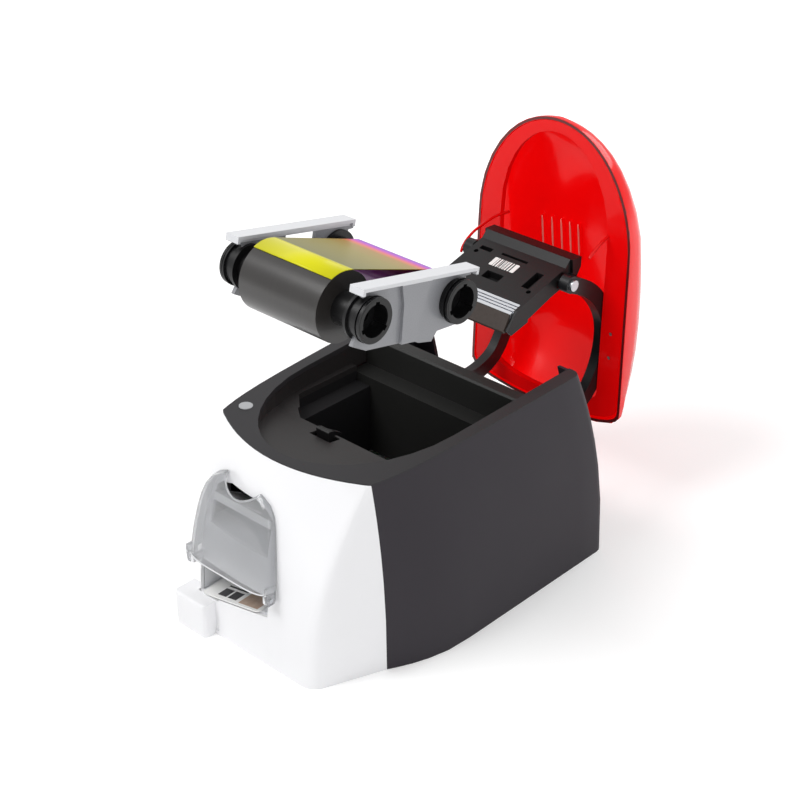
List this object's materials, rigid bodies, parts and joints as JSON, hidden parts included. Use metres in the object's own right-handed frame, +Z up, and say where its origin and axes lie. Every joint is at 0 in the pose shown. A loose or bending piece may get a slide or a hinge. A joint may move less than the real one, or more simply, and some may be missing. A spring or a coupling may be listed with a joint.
{
  "type": "id card printer",
  "caption": "Desktop card printer with a hinged translucent top cover and print head, smoked feeder lid, output bin, roller gear train and a lifted ribbon cassette.",
  "frame": {"origin": "centre of the base tray's underside, on the table plane", "axes": "+Z up, -Y towards the card mouth, +X to the right seen from the front; the cover stands open at rest"},
  "size_m": [0.1904, 0.3465, 0.2902],
  "materials": {
    "white_shell": "smooth gloss white",
    "dark_shell": "fine-textured dark grey",
    "dark_frame": "fine-textured dark grey",
    "inner_black": "moulded satin",
    "rubber_pad": "matt",
    "sheet_metal": "zinc plated sheet",
    "steel_parts": "turned steel",
    "bronze": "sintered",
    "blank_card": "smooth white",
    "print_card": "printed",
    "smoked_clear": "smoked clear plastic",
    "button_grey": "satin",
    "switch_black": "satin",
    "roller_rubber": "ground rubber",
    "gear_plastic": "acetal",
    "motor_can": "drawn can",
    "board_green": "solder resist",
    "socket_metal": "plated",
    "socket_black": "moulded",
    "cover_red": "translucent red",
    "head_black": "moulded satin",
    "sink_metal": "extruded",
    "cassette_grey": "silver grey",
    "spool_black": "satin black",
    "film_dark": "wound film",
    "film_violet": "wound film",
    "film_yellow": "colour film"
  },
  "bodies": {
    "housing": {"front_cover": "white_shell", "side_shell": "dark_shell", "deck_frame": "dark_frame", "base_tray": "inner_black", "rubber_feet": "rubber_pad", "well_liner": "inner_black", "rear_shelf": "inner_black", "chassis_left": "sheet_metal", "chassis_right": "sheet_metal", "tie_rods": "steel_parts", "frame_screws": "steel_parts", "bushings": "bronze", "bin_liner": "white_shell", "printed_card": "print_card", "feeder_tray": "white_shell", "blank_cards": "blank_card", "lid_pins": "steel_parts", "button_seat": "inner_black", "button_switch": "switch_black", "small_screws": "steel_parts", "sensor_bracket": "inner_black", "idler_studs": "steel_parts", "drive_motor": "motor_can", "circuit_board": "board_green", "usb_socket": "socket_metal", "power_socket": "socket_black", "hinge_pin": "steel_parts", "cassette_flange_left": "cassette_grey", "cassette_flange_right": "cassette_grey", "cassette_bar": "cassette_grey", "film_web": "film_yellow"},
    "cover": {"cover_shell": "cover_red", "cover_rim_plate": "cover_red", "head_arm_left": "head_black", "head_arm_right": "head_black", "arm_screws": "steel_parts", "head_frame": "head_black", "heat_sink": "sink_metal", "print_edge": "switch_black", "head_bar": "head_black"},
    "feeder_lid": {"hopper_lid": "smoked_clear"},
    "button": {"power_button": "button_grey"},
    "card_sensor": {"sensor_lever": "switch_black"},
    "platen": {"platen_shaft": "steel_parts", "platen_rubber": "roller_rubber", "platen_gear": "gear_plastic"},
    "feed_roller": {"feed_shaft": "steel_parts", "feed_tyre": "roller_rubber", "feed_gear": "gear_plastic"},
    "idler_rear": {"idler_gear_rear": "gear_plastic"},
    "idler_front": {"idler_gear_front": "gear_plastic"},
    "idler_small": {"idler_gear_small": "gear_plastic"},
    "pinion": {"motor_pinion": "bronze"},
    "ribbon_drive": {"ribbon_hub": "spool_black"},
    "supply_spool": {"supply_core": "spool_black", "supply_roll": "film_dark"},
    "takeup_spool": {"takeup_core": "spool_black", "takeup_roll": "film_violet"}
  },
  "joints": [
    {"name": "cover_hinge", "type": "hinge", "parent": "housing", "child": "cover", "pos_m": [0, 0.103, 0.084], "axis": [1, 0, 0], "range_deg": [0, 92.6]},
    {"name": "lid_hinge", "type": "hinge", "parent": "housing", "child": "feeder_lid", "pos_m": [0, -0.125, 0.0532], "axis": [1, 0, 0], "range_deg": [0, 55]},
    {"name": "button_press", "type": "slide", "parent": "housing", "child": "button", "axis": [0, 0, -1], "range_m": [0, 0.0012], "stiffness_N_per_m": 600},
    {"name": "sensor_tilt", "type": "hinge", "parent": "housing", "child": "card_sensor", "pos_m": [0, -0.046, 0.1185], "axis": [-1, 0, 0], "range_deg": [0, 15], "stiffness_Nm_per_rad": 0.004},
    {"name": "platen_spin", "type": "hinge", "parent": "housing", "child": "platen", "pos_m": [0, 0.0185, 0.042], "axis": [1, 0, 0], "continuous": true},
    {"name": "idler_rear_spin", "type": "hinge", "parent": "housing", "child": "idler_rear", "pos_m": [0, 0.04556, 0.05185], "axis": [1, 0, 0], "continuous": true},
    {"name": "pinion_spin", "type": "hinge", "parent": "housing", "child": "pinion", "pos_m": [0, 0.06427, 0.04105], "axis": [1, 0, 0], "continuous": true},
    {"name": "idler_front_spin", "type": "hinge", "parent": "housing", "child": "idler_front", "pos_m": [0, -0.00986, 0.047], "axis": [1, 0, 0], "continuous": true},
    {"name": "idler_small_spin", "type": "hinge", "parent": "housing", "child": "idler_small", "pos_m": [0, -0.03441, 0.05425], "axis": [1, 0, 0], "continuous": true},
    {"name": "feed_spin", "type": "hinge", "parent": "housing", "child": "feed_roller", "pos_m": [0, -0.056, 0.0535], "axis": [1, 0, 0], "continuous": true},
    {"name": "ribbon_drive_spin", "type": "hinge", "parent": "housing", "child": "ribbon_drive", "pos_m": [0, -0.016, 0.096], "axis": [1, 0, 0], "continuous": true},
    {"name": "supply_spin", "type": "hinge", "parent": "housing", "child": "supply_spool", "pos_m": [0.0495, -0.11728, 0.26976], "axis": [1, 0, 0], "continuous": true},
    {"name": "takeup_spin", "type": "hinge", "parent": "housing", "child": "takeup_spool", "pos_m": [0.0495, -0.04802, 0.25554], "axis": [1, 0, 0], "continuous": true}
  ],
  "couplings": [
    {"joint": "idler_rear_spin", "follows": "platen_spin", "ratio": -0.8},
    {"joint": "pinion_spin", "follows": "platen_spin", "ratio": 2.2857},
    {"joint": "idler_front_spin", "follows": "platen_spin", "ratio": -0.8},
    {"joint": "idler_small_spin", "follows": "platen_spin", "ratio": 1.3333},
    {"joint": "feed_spin", "follows": "platen_spin", "ratio": -1.0667},
    {"joint": "takeup_spin", "follows": "supply_spin", "ratio": 1.8545}
  ]
}
